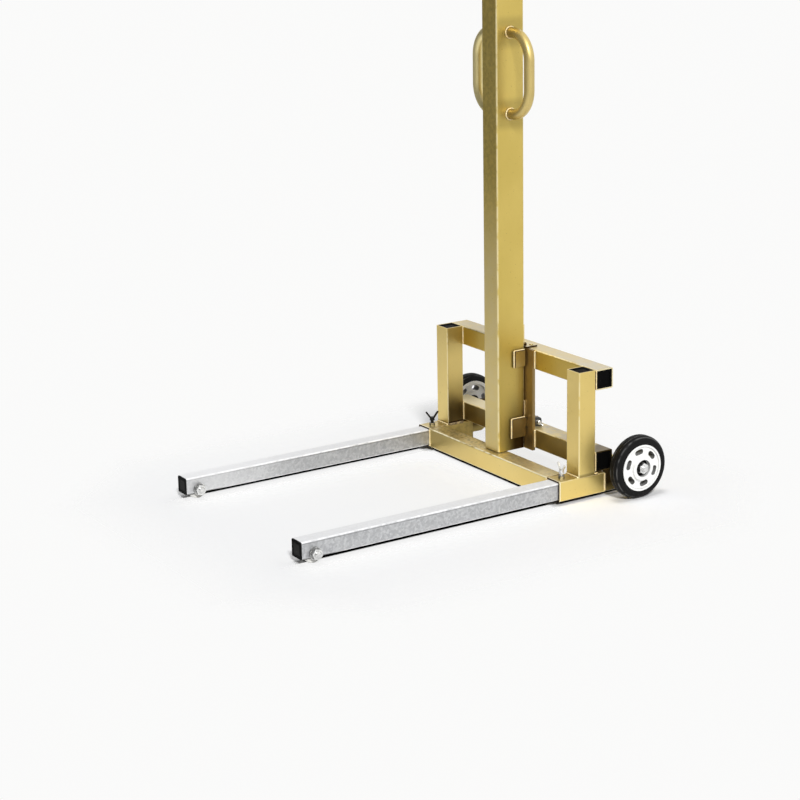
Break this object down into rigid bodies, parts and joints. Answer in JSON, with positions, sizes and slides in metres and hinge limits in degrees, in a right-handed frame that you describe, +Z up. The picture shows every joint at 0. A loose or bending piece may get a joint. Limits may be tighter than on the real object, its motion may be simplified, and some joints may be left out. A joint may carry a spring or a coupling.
{
  "type": "portable folding stacker",
  "caption": "Light lifting stacker: welded base on two rear wheels, plug-in floor legs, and a folding box mast with side handles that guides a telescoping lift column.",
  "frame": {"origin": "on the floor, at the middle of the floor rectangle under the whole object", "axes": "+X to the right side, +Z up, the floor legs point along -Y and the wheels stand at +Y"},
  "size_m": [0.7626, 0.9746, 1.312],
  "materials": {
    "gold_paint": "satin",
    "galvanised": "satin",
    "zinc": "satin",
    "black_plastic": "matte",
    "tyre_rubber": "matte",
    "white_plastic": "gloss",
    "bearing_steel": "satin",
    "nylon": "matte",
    "bush_bronze": "satin"
  },
  "bodies": {
    "base": {"sleeve_left": "gold_paint", "sleeve_right": "gold_paint", "front_crossbar": "gold_paint", "upright_left": "gold_paint", "upright_right": "gold_paint", "lower_crossbar": "gold_paint", "upper_crossbar": "gold_paint", "back_plate": "gold_paint", "lock_clevis": "zinc", "hinge_base_leaf": "gold_paint", "hinge_pin": "zinc", "leaf_rivets": "gold_paint", "axle_bracket_left": "gold_paint", "axle_bracket_right": "gold_paint", "axle": "zinc", "axle_spacers": "zinc", "axle_washers": "zinc", "axle_nuts": "zinc", "crossbar_plugs": "black_plastic", "upright_plugs": "black_plastic", "clamp_nuts": "zinc"},
    "mast": {"mast_tube": "gold_paint", "handle_left": "gold_paint", "handle_right": "gold_paint", "upper_tab_left": "gold_paint", "upper_tab_right": "gold_paint", "lower_tab_left": "gold_paint", "lower_tab_right": "gold_paint", "mast_hinge_leaf": "gold_paint", "stop_plate": "gold_paint", "mast_foot_plug": "black_plastic", "mast_top_bush": "black_plastic", "column_clamp_nut": "zinc"},
    "lift": {"lift_column": "galvanised", "column_guide_pads": "nylon", "head_plate": "galvanised"},
    "lock_wing_screw": {"lock_screw": "zinc"},
    "column_wing_screw": {"column_clamp": "zinc"},
    "left_leg": {"leg_left": "galvanised", "leg_plug_left": "black_plastic", "leg_axle_bolt_left": "zinc", "leg_axle_nut_left": "zinc"},
    "left_roller": {"roller_left": "nylon", "roller_bush_left": "bush_bronze"},
    "left_wheel": {"tyre_left": "tyre_rubber", "rim_left": "white_plastic", "bearings_left": "bearing_steel"},
    "left_leg_screw": {"leg_clamp_left": "zinc"},
    "right_leg": {"leg_right": "galvanised", "leg_plug_right": "black_plastic", "leg_axle_bolt_right": "zinc", "leg_axle_nut_right": "zinc"},
    "right_roller": {"roller_right": "nylon", "roller_bush_right": "bush_bronze"},
    "right_wheel": {"tyre_right": "tyre_rubber", "rim_right": "white_plastic", "bearings_right": "bearing_steel"},
    "right_leg_screw": {"leg_clamp_right": "zinc"}
  },
  "joints": [
    {"name": "mast_fold", "type": "hinge", "parent": "base", "child": "mast", "pos_m": [0, 0.31905, 0.325], "axis": [-1, 0, 0], "range_deg": [0, 90]},
    {"name": "column_lift", "type": "slide", "parent": "mast", "child": "lift", "axis": [0, 0, 1], "range_m": [0, 0.75]},
    {"name": "lock_turn", "type": "hinge", "parent": "base", "child": "lock_wing_screw", "pos_m": [0.05, 0.34125, 0.1265], "axis": [1, 0, 0], "range_deg": [0, 1080]},
    {"name": "column_clamp_turn", "type": "hinge", "parent": "mast", "child": "column_wing_screw", "pos_m": [0, 0.31325, 1.232], "axis": [0, 1, 0], "range_deg": [0, 1080]},
    {"name": "left_leg_pull", "type": "slide", "parent": "base", "child": "left_leg", "axis": [0, -1, 0], "range_m": [0, 0.12]},
    {"name": "left_roller_spin", "type": "hinge", "parent": "left_leg", "child": "left_roller", "pos_m": [-0.277, -0.45175, 0.025], "axis": [1, 0, 0], "continuous": true},
    {"name": "left_wheel_spin", "type": "hinge", "parent": "base", "child": "left_wheel", "pos_m": [-0.352, 0.41025, 0.077], "axis": [1, 0, 0], "continuous": true},
    {"name": "left_leg_screw_turn", "type": "hinge", "parent": "base", "child": "left_leg_screw", "pos_m": [-0.277, 0.24025, 0.06], "axis": [0, 0, 1], "range_deg": [0, 1080]},
    {"name": "right_leg_pull", "type": "slide", "parent": "base", "child": "right_leg", "axis": [0, -1, 0], "range_m": [0, 0.12]},
    {"name": "right_roller_spin", "type": "hinge", "parent": "right_leg", "child": "right_roller", "pos_m": [0.277, -0.45175, 0.025], "axis": [1, 0, 0], "continuous": true},
    {"name": "right_wheel_spin", "type": "hinge", "parent": "base", "child": "right_wheel", "pos_m": [0.352, 0.41025, 0.077], "axis": [1, 0, 0], "continuous": true},
    {"name": "right_leg_screw_turn", "type": "hinge", "parent": "base", "child": "right_leg_screw", "pos_m": [0.277, 0.24025, 0.06], "axis": [0, 0, 1], "range_deg": [0, 1080]}
  ]
}
